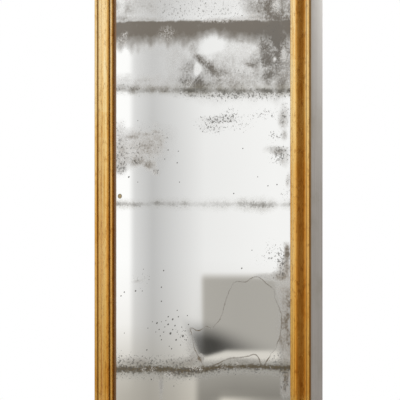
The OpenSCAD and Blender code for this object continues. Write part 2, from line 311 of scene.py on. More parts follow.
def recut(piece, start):
    """Let the recut gesso waver, always inwards, and note each vertex's place for the gilder."""
    mesh = piece.data
    normals = [v.normal.copy() for v in mesh.vertices]
    place = mesh.attributes.new("gilder", "FLOAT_VECTOR", "POINT")
    wear_and_shade = mesh.attributes.new("wear_and_shade", "FLOAT_VECTOR", "POINT")
    for vertex, normal in zip(mesh.vertices, normals):
        along, inwards, height = vertex.co
        across = FACE_W - inwards
        place.data[vertex.index].vector = (along + start, across, height)
        outer = float(inwards < WALL_W and height < WALL_TOP)
        wear_and_shade.data[vertex.index].vector = (
            np.interp(across / MM, *zip(*EXPOSED)), np.interp(across / MM, *zip(*DARK_IN_RECESSES)), outer)
        if height > WAVER_FROM and not outer:
            sway = noise.fractal(Vector((along * WAVES_ALONG + start, inwards * WAVES_ACROSS,
                                         height * WAVES_ACROSS)), 0.7, 2.0, 3)
            vertex.co -= normal * WAVER * (0.5 + 0.5 * sway)


print(f"gesso wavers by up to {WAVER / MM:.2f} mm")

# %% Run the four lengths
mouldings = []
for name, turn in SIDE_TURN.items():
    piece = run_moulding(FRAME_W if turn % 180 == 0 else FRAME_H)
    recut(piece, start=turn / TURN_PER_METRE)
    piece.data.transform(side_place(turn))
    piece.name = f"gilt_{name}"
    clear_selection()
    piece.select_set(True)
    bpy.context.view_layer.objects.active = piece
    bpy.ops.object.shade_smooth_by_angle(angle=math.radians(CREASE))
    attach(piece, "frame")
    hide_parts(name)
    mouldings.append(piece)
    print(piece.name, len(piece.data.polygons), "faces")

# %% [markdown]
# ## Gold leaf
#
# Water gilding is leaf of almost pure gold laid on red clay over gesso, and burnished with an agate. It
# is a metal, so its colour is in its reflection. On an old frame the red clay shows where hands and dusters
# wore the high lines, brown dirt and painted shade darken the quirk and the hollow, the burnisher's strokes
# run along the length, and each square leaf, about 80 mm, has its own tint where it laps the next. The real
# strokes are finer than the picture can show, so they are drawn a little over a millimetre wide.

# %% Gilding: noises along the moulding, and its leaves
LEAF = 80
gilding, tree = new_material("burnished gold leaf on red bole")
place, wear_and_shade = (add(tree, "Attribute", attribute_name=name).node.outputs["Vector"]
                  for name in ("gilder", "wear_and_shade"))
along = add(tree, "SeparateXYZ", {0: place})
exposed, recess_dark, outer = add(tree, "SeparateXYZ", {0: wear_and_shade}).node.outputs

# so long along the moulding and so wide across it, in millimetres, with its detail and roughness
RUNS = [(120, 1.6, 3.0, 0.55), (380, 5.6, 3.0, 0.5), (70, 18, 5.0, 0.62), (20, 9, 6.0, 0.72)]
strokes, broad, wear, stains = (
    add(tree, "TexNoise", {
        "Vector": add(tree, "Mapping", {"Vector": place, "Scale": per_mm(length, width, width)}),
        "Scale": 1.0, "Detail": detail, "Roughness": roughness})
    for length, width, detail, roughness in RUNS)

leaf_wave = add(tree, "Math", {0: wear, 1: 0.25}, operation="MULTIPLY")
leaf_count = add(tree, "Math", {0: along, 1: per_mm(LEAF), 2: leaf_wave}, operation="MULTIPLY_ADD")
leaf_index = add(tree, "Math", {0: leaf_count}, operation="FLOOR")
leaf_shade = add(tree, "TexWhiteNoise", {"W": leaf_index}, noise_dimensions="1D")
print(len(RUNS), "noises along the moulding, and leaves of", LEAF, "mm")

# %% Gilding: the tone of the leaf, and where it is worn to the clay
tone = -0.2
for part, share in ((strokes, 0.25), (wear, 0.35), (broad, 0.8), (leaf_shade, 0.12)):
    tone = add(tree, "Math", {0: part, 1: share, 2: tone}, operation="MULTIPLY_ADD")
leaf_colour = add(tree, "ValToRGB", {0: tone}, stops=[
    (0.22, "#c9984d"), (0.4, "#edc075"), (0.55, "#fad99b"), (0.75, "#ffe9b8")])

rubbed = exposed
for part, share in ((wear, 0.5), (strokes, 0.35)):
    rubbed = add(tree, "Math", {0: part, 1: share, 2: rubbed}, operation="MULTIPLY_ADD")
bare, brown = (
    add(tree, "MapRange", {"Value": value, "From Min": start, "From Max": full, "To Max": most})
    for value, start, full, most in ((rubbed, 0.88, 1.08, 0.65), (stains, 0.53, 0.64, 0.5)))
print(len(tree.nodes), "nodes so far")

# %% Gilding: dirt and painted shade in the hollows, and nicks
# dirt and painted shade darken the quirk, the hollow and the lip's outer edge
dirt_and_shade = add(tree, "Math", {0: wear, 1: 0.6, 2: 0.6}, operation="MULTIPLY_ADD")
dirt_and_shade = add(tree, "Math", {0: dirt_and_shade, 1: recess_dark}, operation="MULTIPLY", use_clamp=True)
scaled = add(tree, "Mapping", {"Vector": place, "Scale": per_mm(7, 4, 4)})
specks = add(tree, "TexVoronoi", {"Vector": scaled, "Scale": 1.0}).node.outputs
few = add(tree, "SeparateColor", {0: specks["Color"]})
few = add(tree, "Math", {0: few, 1: 0.04}, operation="LESS_THAN")
small = add(tree, "MapRange", {"Value": specks["Distance"], "From Min": 0.32, "From Max": 0.16, "To Max": 0.6})
nicks = add(tree, "Math", {0: few, 1: small}, operation="MULTIPLY")
dark = add(tree, "Math", {0: nicks, 1: dirt_and_shade}, operation="MAXIMUM")
print(len(tree.nodes), "nodes so far")

# %% Gilding: the colours over one another, painted shade darkening them towards the foot, and ochre on the back edge
soiled = leaf_colour
for amount, colour in ((brown, "#ab7233"), (bare, "#ab5a28"), (dark, "#5a3a10")):
    soiled = add(tree, "Mix", {"Factor": amount, "A": soiled, "B": linear(colour)}, data_type="RGBA")
# painted shade: by height, the gold is multiplied darker and browner towards the foot and left full at the top
rise = add(tree, "TexCoord").node.outputs["Object"]
rise = add(tree, "SeparateXYZ", {0: rise}).node.outputs["Z"]
rise = add(tree, "Math", {0: rise, 1: 0.5}, operation="MULTIPLY")
painted_falloff = add(tree, "ValToRGB", {0: rise}, stops=[
    (0.26, "#e2c88f"), (0.34, "#ecd5a0"), (0.42, "#f4dfb4"), (0.57, "#f8eaca"), (0.65, "#fffae9"),
    (0.8, "#ffffff")])
gold_with_falloff = add(tree, "Mix", {"Factor": 1.0, "A": soiled, "B": painted_falloff}, data_type="RGBA", blend_type="MULTIPLY")
ochre = add(tree, "Mix", {"Factor": wear, "A": linear("#6e5735"), "B": linear("#9c8460")}, data_type="RGBA")
gold_with_falloff = add(tree, "Mix", {"Factor": outer, "A": gold_with_falloff, "B": ochre}, data_type="RGBA")
print(len(tree.nodes), "nodes so far")

# %% Gilding: metal, gloss and relief
metal, gloss = 1.0, 0.15
for part, share in ((dark, -0.4), (bare, -0.5)):
    metal = add(tree, "Math", {0: part, 1: share, 2: metal}, operation="MULTIPLY_ADD")
metal = add(tree, "Math", {0: metal, 1: outer}, operation="SUBTRACT", use_clamp=True)
for part, share in ((wear, 0.14), (dark, 0.3), (outer, 0.4)):
    gloss = add(tree, "Math", {0: part, 1: share, 2: gloss}, operation="MULTIPLY_ADD", use_clamp=True)
relief = add(tree, "Bump", {"Height": strokes, "Strength": 0.2, "Distance": 0.25 * MM})
shader = add(tree, "BsdfPrincipled", {
    "Base Color": gold_with_falloff, "Metallic": metal, "Roughness": gloss, "Normal": relief})
add(tree, "OutputMaterial", {"Surface": shader})
for piece in mouldings:
    piece.data.materials.append(gilding)
print(gilding.name, len(tree.nodes), "nodes")

# %% [markdown]
# ## The plate
#
# The plate is 5 mm of old glass, silvered on its back. A grid gives it vertices to carry the decay of the
# silver: clouds, stain lines, specks and a tide mark where damp dried out. Each is measured in millimetres,
# from the middle of the plate and from the foot of the frame, and stored as an attribute, so the shader can
# draw fine ragged detail between the vertices. The stain lines lie at gaps between the backboards, because
# damp air reached the silver through them.

# %% Model the plate
GRID = 4 * MM
plate_w, plate_t, plate_h = plate_high - plate_low

clear_selection()
bpy.ops.mesh.primitive_grid_add(
    x_subdivisions=round(plate_w / GRID), y_subdivisions=round(plate_h / GRID), size=1,
    location=((plate_low.x + plate_high.x) / 2, FACE_Y, (plate_low.z + plate_high.z) / 2),
    rotation=(math.pi / 2, 0, 0))
plate = bpy.context.object
plate.name = "silvered_plate"
plate.scale = (plate_w, plate_h, 1)
bpy.ops.object.transform_apply(location=True, rotation=True, scale=True)
bpy.ops.object.mode_set(mode="EDIT")
bpy.ops.mesh.select_mode(type="EDGE")
bpy.ops.mesh.select_all(action="DESELECT")
bpy.ops.mesh.select_non_manifold(extend=False, use_wire=False, use_boundary=True, use_multi_face=False,
                                 use_non_contiguous=False, use_verts=False)
bpy.ops.mesh.extrude_region_move(TRANSFORM_OT_translate={"value": (0, plate_t, 0)})
bpy.ops.mesh.edge_face_add()
bpy.ops.mesh.select_all(action="SELECT")
bpy.ops.mesh.normals_make_consistent(inside=False)
bpy.ops.object.mode_set(mode="OBJECT")
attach(plate, "frame")
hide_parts("mirror_plate")
print(plate.name, len(plate.data.polygons), "faces")

# %% Places on the glass
points = np.empty(len(plate.data.vertices) * 3)
plate.data.vertices.foreach_get("co", points)
points = points.reshape(-1, 3) / MM
X, Z = points[:, 0], points[:, 2]


def cloudy(wide, tall, seed, octaves=4):
    """Noise at each vertex from -1 to 1, its clouds this many millimetres across and up."""
    return np.array([noise.fractal(Vector((x / wide, seed, z / tall)), 0.9, 2.0, octaves)
                     for x, z in zip(X, Z)])


def smooth(value, low, high):
    """A soft step from 0 at low to 1 at high."""
    t = np.clip((value - low) / (high - low), 0, 1)
    return t * t * (3 - 2 * t)


def clouds(blobs):
    """Soft-edged clouds, each a place, half a width, half a height and a strength, drifting a little."""
    total = np.zeros(len(X))
    for x, z, wide, tall, strength in blobs:
        aside = (X + drift_x * min(1, wide / STEADY) - x) / wide
        above = (Z + drift_z * min(1, tall / STEADY) - z) / tall
        total += strength * (1 - smooth(np.hypot(aside, above), *CLOUD_SOFT))
    return total


DRIFT, STEADY = 20, 45      # clouds drift by up to about this many millimetres, and narrower ones less
CLOUD_SOFT = (0.3, 1.45)    # a cloud is full within the first of these half sizes and ends at the second
FRAY = 6
drift_x, drift_z = cloudy(55, 55, 1.3) * DRIFT, cloudy(55, 55, 7.9) * DRIFT
ragged = cloudy(16, 16, 4.4) * FRAY
smudged = cloudy(26, 90, 2.2)
print(f"{len(X)} places, drift up to {np.abs(drift_x).max():.0f} mm")

# %% [markdown]
# The heaviest mark is a dark band that hangs from a ragged edge, 1.62 m up. Its lower side fades over a
# few centimetres in wiped vertical smudges, and runs into a dark cloud on the right. Lighter and darker
# clouds lie between it and the next stain line; a negative cloud is a place that stayed or was wiped
# bright.

# %% The dark band
BAND_EDGE, BAND_SOFT, BAND_FADE, BAND_SMUDGE = 1624, 4, 0.42, 0.2
# how far down it reaches, in millimetres, at each X
BAND_REACH = [(-300, 91), (-240, 98), (-190, 97), (-158, 85), (-110, 92), (-31, 90), (0, 68), (20, 56),
              (50, 50), (70, 60), (96, 76), (140, 76), (181, 86), (300, 90)]
below = BAND_EDGE + ragged * 0.6 - Z
reach = np.interp(X, *zip(*BAND_REACH)) * (1 + BAND_SMUDGE * smudged)
# it pales from a third of its reach down, and is wiped out over the last third
band = (smooth(below, -BAND_SOFT, BAND_SOFT) * (1 - BAND_FADE * smooth(below, reach * 0.3, reach * 0.9))
        * (1 - smooth(below, reach * 0.68, reach * 1.12)))
print(f"the band reaches {reach.min():.0f} to {reach.max():.0f} mm down")

# %% Clouds in the silver
haze = clouds([
    (-240, 1626, 100, 12, 0.35), (200, 1626, 110, 12, 0.35), (60, 1624, 60, 9, 0.3),
    (-160, 1625, 50, 8, 0.2),
    # above the band
    (-221, 1669, 90, 40, 0.28), (-290, 1655, 40, 60, 0.3), (-285, 1672, 11, 37, -0.2),
    (60, 1690, 300, 60, 0.1), (-179, 1657, 35, 19, 0.12), (200, 1672, 11, 28, 0.2), (215, 1680, 62, 70, 0.3),
    (230, 1663, 34, 42, 0.28), (280, 1658, 44, 60, 0.68), (168, 1690, 34, 60, 0.3),
    (262, 1666, 14, 25, -0.4), (-160, 1760, 130, 60, 0.22), (250, 1790, 90, 80, 0.4),
    (-40, 1880, 160, 60, 0.28), (-280, 1930, 70, 130, 0.45), (180, 1960, 150, 70, 0.35),
    (0, 2040, 330, 30, 0.5),
    # the veil under the band, and the dark cloud on its right
    (120, 1480, 230, 95, 0.34), (265, 1500, 60, 120, 0.3), (288, 1545, 40, 65, 0.35),
    (-190, 1428, 150, 28, 0.3), (-70, 1575, 70, 40, 0.3), (20, 1430, 80, 60, 0.12),
    (-30, 1540, 14, 48, 0.25), (183, 1492, 16, 34, 0.28), (237, 1532, 36, 75, 0.45),
    (205, 1538, 18, 37, 0.2), (283, 1432, 28, 37, 0.5), (230, 1439, 21, 31, 0.25), (272, 1576, 42, 28, 0.5),
    (285, 1520, 10, 24, -0.45), (255, 1504, 6, 7, -0.9),
    # a dark crescent, and a bright place below it
    (-15, 1515, 13, 10, 0.35), (4, 1502, 20, 16, 0.5), (24, 1487, 22, 17, 0.45), (33, 1470, 18, 14, 0.35),
    (57, 1460, 24, 11, 0.25), (-15, 1471, 14, 19, -1.1), (-52, 1478, 26, 24, 0.35),
    (-59, 1445, 23, 21, 0.35), (-31, 1420, 34, 24, 0.5), (-6, 1439, 16, 20, 0.3), (11, 1417, 23, 18, 0.3),
    # mottled grey on the right, and lighter clouds
    (114, 1442, 92, 31, 0.16), (78, 1423, 71, 19, 0.15), (167, 1485, 18, 9, 0.3), (153, 1464, 32, 19, -0.15),
    (142, 1569, 71, 14, 0.45), (33, 1541, 42, 34, -0.3), (131, 1523, 56, 25, -0.12),
    (-292, 1414, 25, 12, 0.3), (-242, 1411, 21, 16, 0.5), (-151, 1411, 85, 11, 0.35),
    (-91, 1488, 32, 44, 0.15), (-133, 1526, 56, 25, 0.1), (-285, 1400, 25, 5, -0.6),
    (-197, 1470, 49, 44, 0.06),
    # the tan cloud on the left, with a ridge across it and a tail
    (-180, 1240, 70, 60, 0.34), (-239, 1218, 60, 56, 0.32), (-288, 1221, 24, 75, 0.32),
    (-232, 1186, 28, 16, 0.3), (-161, 1246, 28, 31, 0.15), (-249, 1261, 21, 6, 0.3),
    (-204, 1272, 25, 6, 0.3), (-161, 1280, 21, 6, 0.3), (-165, 1302, 18, 9, 0.18), (54, 1314, 62, 12, 0.14),
    (30, 1292, 44, 14, 0.08), (-186, 1174, 22, 14, 0.5), (-165, 1154, 16, 14, 0.5),
    (-292, 1168, 18, 19, 0.25),
    # down the right edge
    (266, 1220, 38, 13, 0.55), (288, 1196, 18, 24, 0.3), (284, 1318, 18, 36, 0.42), (288, 1267, 10, 14, 0.4),
    (301, 1127, 7, 25, 0.3), (297, 909, 12, 24, 0.75), (288, 860, 18, 30, 0.4), (299, 872, 12, 46, 0.45),
    (276, 828, 25, 16, 0.3), (286, 754, 28, 75, 0.35), (292, 620, 25, 85, 0.5), (306, 690, 12, 120, 0.35),
    (244, 825, 49, 11, 0.25), (294, 500, 17, 55, 0.75), (288, 700, 24, 110, 0.2),
    # round the tide mark and the lowest line
    (-225, 810, 18, 7, 0.28), (-41, 657, 9, 9, 0.5), (-45, 601, 21, 37, 0.12), (142, 564, 71, 12, 0.28),
    (-225, 560, 48, 16, 0.5), (-60, 560, 60, 15, 0.42), (-63, 526, 49, 12, 0.4), (-145, 489, 9, 46, 0.5),
    (-4, 572, 10, 12, 1.3), (-30, 572, 16, 16, 0.25),
    # beyond the picture
    (-210, 330, 120, 60, 0.25), (200, 260, 120, 70, 0.35), (-40, 190, 260, 40, 0.4), (290, 130, 60, 80, 0.5),
    (-290, 120, 60, 70, 0.5), (0, 80, 330, 26, 0.55),
])
print(f"haze from {haze.min():.2f} to {haze.max():.2f}")

# %% [markdown]
# Stain lines are thin and nearly level. Each runs through a few places with a height, a strength and half a
# width. The distance to the nearest one is stored, in half widths, rather than its darkness, because a
# distance stays exact between vertices and the shader can fray it.

# %% Stain lines
LINES = [
    [(-320, 1960, 0.5, 5), (-100, 1961, 0.2, 4), (60, 1958, 0.6, 6), (320, 1959, 0.3, 4)],
    [(-320, 1789, 0.1, 4), (-120, 1790, 0.5, 5), (90, 1791, 0.1, 4), (320, 1790, 0.8, 6)],
    [(-320, 1407, 0.2, 6), (-262, 1406, 0.3, 6), (-240, 1405, 0.4, 7), (-120, 1408, 0.4, 7),
     (-70, 1407, 0.65, 8), (-30, 1406, 0.95, 8), (40, 1405, 0.6, 8), (120, 1404, 0.75, 8),
     (220, 1404, 0.8, 8), (320, 1403, 1.0, 8)],
    [(-320, 1052, 0.6, 7), (-235, 1052, 0.5, 6), (-205, 1053, 0.2, 6), (-155, 1055, 0.5, 7),
     (-130, 1053, 0.3, 7), (-60, 1054, 0.4, 8), (-30, 1052, 0.15, 6), (26, 1053, 0.2, 9),
     (85, 1052, 0.28, 8), (100, 1052, 0.2, 6), (135, 1052, 0.5, 8), (210, 1050, 0.6, 10),
     (250, 1051, 0.45, 8), (270, 1051, 0.1, 6), (320, 1051, 0.5, 7)],
    [(-320, 537, 2.2, 11), (-235, 536, 2.2, 11), (-186, 538, 2.0, 11), (-137, 537, 2.2, 11),
     (-87, 534, 2.3, 11), (-38, 534, 2.3, 11), (11, 538, 2.1, 10), (61, 545, 1.8, 9), (110, 547, 1.3, 8),
     (209, 548, 1.4, 8), (258, 545, 2.0, 9), (320, 545, 2.0, 9)],
    [(-320, 370, 0.2, 4), (0, 371, 0.7, 6), (180, 369, 0.1, 4), (320, 370, 0.4, 4)],
    [(-320, 198, 1.0, 6), (-80, 199, 0.6, 5), (320, 200, 1.2, 8)],
]
FAR_OFF, LINE_ENDS = 60.0, (4.6, 6)          # in half widths of a line
line_gap = np.full(len(X), FAR_OFF)
line_strength = np.zeros(len(X))
specks_thick = np.zeros(len(X))
for line in LINES:
    x, z, strength, width = zip(*line)
    width = np.interp(X, x, width)
    gap = (Z - np.interp(X, x, z) - ragged * 0.25) / width
    nearer = np.abs(gap) < np.abs(line_gap)
    line_gap[nearer], line_strength[nearer] = gap[nearer], np.interp(X, x, strength)[nearer]
    specks_thick += 0.35 * np.interp(X, x, strength) * np.exp(-((gap + 0.6) / 2) ** 2)
line_strength *= 1 - smooth(np.abs(line_gap), *LINE_ENDS)
print(len(LINES), "stain lines")

# %% [markdown]
# The tide mark is one closed curve of dried damp on the lower right. Inside it the silver was washed clean.

# %% Tide mark
TIDE = [(-41, 666), (-13, 657), (15, 673), (35, 669), (64, 697), (83, 749), (111, 808), (154, 811),
        (174, 822), (201, 824), (233, 801), (254, 784), (256, 759), (277, 714), (276, 657), (260, 608),
        (233, 574), (213, 547), (203, 568), (186, 585), (154, 579), (92, 570), (48, 553), (5, 546),
        (-3, 563), (-26, 598), (-30, 622)]
WASHED, MOST_HAZE = 0.6, 1.4


def rounded(corners, steps):
    """A closed curve through the corners."""
    made = []
    for i in range(len(corners)):
        before, start, end, after = (np.array(corners[(i + k) % len(corners)]) for k in (-1, 0, 1, 2))
        for t in np.arange(steps) / steps:
            made.append(start + 0.5 * ((end - before) * t + (2 * before - 5 * start + 4 * end - after) * t ** 2
                                       + (3 * start - before - 3 * end + after) * t ** 3))
    return made


def signed_gap(curve):
    """Distance of each vertex to a closed curve, negative inside it."""
    fray_x, fray_z = X + ragged * 0.5, Z + drift_z * 0.1
    near, inside = np.full(len(X), 1e9), np.zeros(len(X), bool)
    for (x0, z0), (x1, z1) in zip(curve, curve[1:] + curve[:1]):
        step_x, step_z = x1 - x0, z1 - z0
        t = np.clip(((fray_x - x0) * step_x + (fray_z - z0) * step_z) / (step_x ** 2 + step_z ** 2), 0, 1)
        near = np.minimum(near, np.hypot(fray_x - x0 - t * step_x, fray_z - z0 - t * step_z))
        crosses = (z0 > fray_z) != (z1 > fray_z)
        inside ^= crosses & (fray_x < x0 + step_x * (fray_z - z0) / (step_z if step_z else 1))
    return np.where(inside, -near, near)


tide_gap = signed_gap(rounded(TIDE, 4))
haze = np.clip(haze * (1 - WASHED * smooth(-tide_gap, 0, 5)), 0, MOST_HAZE)
print(f"tide mark covers {np.mean(tide_gap < 0) * plate_w * plate_h * 1e4:.0f} cm2")

# %% [markdown]
# Fine specks come by the thousand, so the shader scatters them and the plate only says how thickly. The
# finest are too small to show, so none is drawn under a millimetre or two. Flecks are the opposite, places
# where bright silver shows through tarnish.

# %% Specks and flecks
specks_thick += clouds([
    (8, 1657, 169, 44, 0.42), (-115, 1650, 49, 28, 0.25), (244, 1538, 56, 106, 0.3),
    (114, 1445, 92, 37, 0.3), (-38, 1426, 42, 28, 0.3), (149, 1389, 155, 14, 0.7), (78, 1389, 63, 16, 0.25),
    (-45, 1392, 42, 9, 0.35), (-285, 1417, 32, 16, 0.55), (-235, 1414, 28, 16, 0.4), (54, 1316, 60, 13, 1.2),
    (29, 1292, 50, 22, 0.7), (96, 1327, 32, 22, 0.7), (131, 1302, 46, 28, 0.4), (-290, 1221, 25, 81, 0.62),
    (-239, 1214, 32, 37, 0.5), (-228, 1186, 21, 16, 0.6), (-190, 1177, 14, 12, 0.6),
    (-165, 1155, 14, 12, 0.65), (-292, 1165, 18, 25, 0.55), (-179, 1283, 56, 25, 0.25),
    (-133, 1230, 21, 37, 0.25), (-186, 1227, 49, 44, 0.25), (272, 1212, 40, 30, 1.1),
    (255, 1264, 28, 13, 0.8), (219, 1330, 50, 18, 0.55), (290, 1320, 15, 40, 0.7), (301, 1121, 11, 28, 0.55),
    (290, 1081, 18, 19, 0.3), (282, 872, 24, 52, 1.0), (244, 900, 28, 34, 0.4), (209, 872, 32, 28, 0.12),
    (265, 828, 25, 12, 0.4), (-218, 813, 35, 28, 0.25), (-115, 660, 71, 37, 0.1), (-59, 642, 21, 25, 0.35),
    (-239, 561, 80, 22, 0.6), (-98, 561, 90, 22, 0.55), (-63, 526, 49, 12, 0.7), (96, 533, 78, 9, 0.4),
    (195, 533, 14, 16, 0.55), (265, 567, 32, 25, 0.6), (290, 500, 16, 50, 0.8), (-295, 570, 18, 25, 0.5),
    (-80, 1760, 220, 70, 0.3), (150, 1900, 160, 90, 0.4), (-250, 1900, 80, 110, 0.5),
    (0, 2035, 320, 40, 0.6), (160, 260, 160, 90, 0.4), (-240, 150, 110, 90, 0.5),
])
flecks = clouds([
    (-124, 1582, 25, 23, 0.5), (-276, 1585, 11, 9, 0.8), (-285, 1563, 21, 16, 0.6), (43, 1624, 92, 6, 1),
    (160, 1635, 42, 12, 0.8), (209, 1629, 35, 9, 0.5), (262, 1666, 18, 28, 0.9), (283, 1516, 14, 34, 0.9),
    (255, 1504, 9, 9, 1), (167, 1532, 71, 25, 0.35), (-41, 1429, 14, 12, 0.7), (272, 1445, 32, 31, 0.35),
    (-17, 1473, 14, 19, 0.7), (114, 1445, 92, 31, 0.2), (-207, 536, 9, 8, 1.6), (-170, 537, 10, 8, 1.6),
    (-119, 523, 16, 10, 1.2), (-24, 539, 24, 7, 1.6), (68, 542, 21, 6, 0.7), (124, 558, 7, 7, 1.4),
    (241, 544, 7, 5, 1.4), (-278, 1211, 28, 44, 0.5), (-239, 1221, 28, 31, 0.4), (286, 872, 16, 36, 0.7),
    (-100, 1760, 80, 50, 0.3), (200, 1880, 80, 60, 0.4),
])
print(f"specks up to {specks_thick.max():.2f}, flecks up to {flecks.max():.2f}")

# %% [markdown]
# Some sixty spots are large enough to have their own places, each with its radius. A spot's centre goes to
# the nearest vertex, and the vertices round it store how many radii away they are.

# %% Spots
SPOTS = [
    (-137, 846, 2.1), (-209, 851, 1.3), (-186, 819, 1.3), (-234, 783, 2.3), (-210, 781, 1.5),
    (-144, 793, 2.1), (-276, 776, 1.9), (-288, 764, 1.9), (-142, 750, 2.1), (-87, 722, 1.9),
    (-120, 703, 2.1), (-84, 703, 1.9), (-53, 704, 1.7), (-102, 693, 2.7), (-158, 680, 2.9), (-119, 677, 2.7),
    (-97, 674, 2.1), (-73, 669, 1.7), (-47, 677, 1.9), (-177, 684, 1.5), (-192, 664, 1.5), (-110, 648, 3.4),
    (-135, 652, 1.9), (-146, 642, 1.9), (-144, 630, 1.9), (-69, 640, 3.4), (-274, 650, 1.5), (140, 855, 2.3),
    (-90, 629, 2.7), (-107, 601, 2.1), (-196, 597, 2.1), (-212, 577, 1.7), (-178, 507, 2.1),
    (-261, 1139, 2.5), (-227, 1312, 1.5), (-118, 1221, 1.7), (-84, 1217, 1.7), (-131, 1192, 1.7),
    (-87, 1181, 1.9), (143, 1225, 1.7), (196, 1138, 1.7), (265, 1114, 1.9), (110, 1084, 1.9),
    (234, 903, 1.7), (237, 884, 1.9), (177, 908, 1.5), (-144, 685, 1.4), (-117, 610, 1.6), (-101, 487, 1.5),
    (-227, 1120, 1.5), (-78, 1121, 1.7), (233, 1108, 1.7), (-128, 690, 1.6), (-150, 662, 1.7),
    (-105, 662, 1.9), (-88, 655, 1.7), (-60, 657, 1.9), (-130, 668, 1.5), (-56, 628, 1.9), (-77, 614, 1.6),
    (-164, 655, 1.5), (-60, 1840, 2.4), (90, 330, 2.2),
]
FLAKED_SPOT = (-291, 1078)


def gap_to(x, z):
    """Distance of each vertex to the vertex nearest a place."""
    nearest = np.argmin(np.hypot(X - x, Z - z))
    return np.hypot(X - X[nearest], Z - Z[nearest])


spot_gap = np.full(len(X), 20.0)
for x, z, radius in SPOTS:
    spot_gap = np.minimum(spot_gap, gap_to(x, z) / radius)
print(len(SPOTS), "spots")

# %% Store the decay on the vertices
# the dark edge is lost silver and a painted reflection of the rebate's dark wall, wider on the left than on the
# right, by millimetres per millimetre of X
REFLECTION_SLANT = 0.009
warmth = np.clip(0.35 + clouds([
    (-200, 1225, 120, 90, 0.35), (237, 1500, 70, 110, -0.2), (-30, 1460, 90, 60, -0.3), (0, 545, 420, 40, 0.6),
    (290, 680, 50, 200, 0.4), (285, 866, 40, 80, 0.4), (40, 782, 60, 90, 0.5), (0, 200, 330, 200, 0.3)]), 0, 1)
from_edge = np.minimum(FRAME_W / 2 - FACE_W - np.abs(X) * MM,
                       FRAME_H / 2 - FACE_W - np.abs(Z * MM - MID_Z)) / MM
STORED = {"haze": haze, "warmth": warmth, "speck_thickness": np.clip(specks_thick, 0, 1),
          "line_gap": line_gap, "line_strength": line_strength, "tide_gap": tide_gap, "spot_gap": spot_gap,
          "flake_gap": gap_to(*FLAKED_SPOT), "flecks": np.clip(flecks, 0, 1),
          "sight_gap": from_edge + X * REFLECTION_SLANT, "band": band}
for name, values in STORED.items():
    made = plate.data.attributes.new(name, "FLOAT", "POINT")
    made.data.foreach_set("value", values.astype(np.float32))
print(f"haze on {np.mean(haze > 0.3):.0%} of the glass, {from_edge.max():.0f} mm from sight edge to middle")

# %% [markdown]
# ## Silvered glass
#
# Silver behind clear glass reflects nearly everything. Where it has tarnished it turns grey and dull, where
# it has flaked off the dark backing shows, and warm brown salts are left at the edges of old damp. The
# clean glass in front of it all keeps its polish, and that is what the shader's coat stands for. Clean
# silver is fully metallic; tarnish, specks and stains lose their metal and are seen by plain light.

# %% Silver: what the plate stored, and fine noise
silver, tree = new_material("antique silvered plate glass")
(haze_in, warm_in, thick_in, line_in, strength_in, tide_in, spot_in, flaked_in, fleck_in, sight_in,
 band_in) = (add(tree, "Attribute", attribute_name=name).node.outputs["Fac"] for name in STORED)
where = add(tree, "TexCoord").node.outputs["Object"]
parts = add(tree, "SeparateXYZ", {0: where}).node.outputs
flat = add(tree, "CombineXYZ", {0: parts["X"], 1: parts["Z"]})

# the size of its features in millimetres, with its detail and roughness
MOTTLES = [(34, 6.0, 0.62), (7, 4.0, 0.6), (8, 3.0, 0.8), (11, 2.0, 0.5)]
mottle, grit, scatter, lacework = (
    add(tree, "TexNoise", {"Vector": flat, "Scale": per_mm(size), "Detail": detail, "Roughness": roughness},
        noise_dimensions="2D")
    for size, detail, roughness in MOTTLES)
print(len(STORED), "attributes and", len(MOTTLES), "noises")

# %% Silver: tarnish
uneven = -0.5
for texture in (mottle, grit):
    uneven = add(tree, "Math", {0: texture, 1: 1.5, 2: uneven}, operation="MULTIPLY_ADD")
full = add(tree, "MapRange", {"Value": haze_in, "From Min": 0.95, "From Max": 1.35, "To Max": 0.95})
uneven = add(tree, "Mix", {"Factor": full, "A": uneven, "B": 1.0}, data_type="FLOAT")
tarnish = add(tree, "Math", {0: haze_in, 1: uneven}, operation="MULTIPLY", use_clamp=True)
wiped = add(tree, "Math", {0: mottle, 1: 0.5, 2: 0.82}, operation="MULTIPLY_ADD")
wiped = add(tree, "Math", {0: wiped, 1: band_in}, operation="MULTIPLY", use_clamp=True)
tarnish = add(tree, "Math", {0: tarnish, 1: wiped}, operation="MAXIMUM")
print(len(tree.nodes), "nodes so far")

# %% Silver: stain lines with a halo, and a thread of salts two millimetres wide at the tide mark
off = []
for gap, fray in ((line_in, 2.4), (tide_in, 3.0)):
    wander = add(tree, "Math", {0: grit, 1: fray, 2: -fray / 2}, operation="MULTIPLY_ADD")
    frayed = add(tree, "Math", {0: gap, 1: wander}, operation="ADD")
    off.append(add(tree, "Math", {0: frayed}, operation="ABSOLUTE"))
off_line, off_tide = off
patchy = add(tree, "Math", {0: mottle, 1: 2.2, 2: -0.3}, operation="MULTIPLY_ADD")
patchy = add(tree, "Math", {0: patchy, 1: strength_in}, operation="MULTIPLY", use_clamp=True)
faint = add(tree, "Math", {0: mottle, 1: 2.0, 2: -0.4}, operation="MULTIPLY_ADD", use_clamp=True)

drawn = []
for gap, start, full, most, patches in (
        (off_line, 3.6, 0.6, 0.55, patchy), (off_line, 1.25, 0.3, 0.96, patchy),
        (off_tide, 2.6, 0.9, 1.0, faint)):
    near = add(tree, "MapRange", {"Value": gap, "From Min": start, "From Max": full, "To Max": most},
               interpolation_type="SMOOTHSTEP")
    drawn.append(add(tree, "Math", {0: near, 1: patches}, operation="MULTIPLY"))
halo, stroke, thread = drawn
print(len(tree.nodes), "nodes so far")
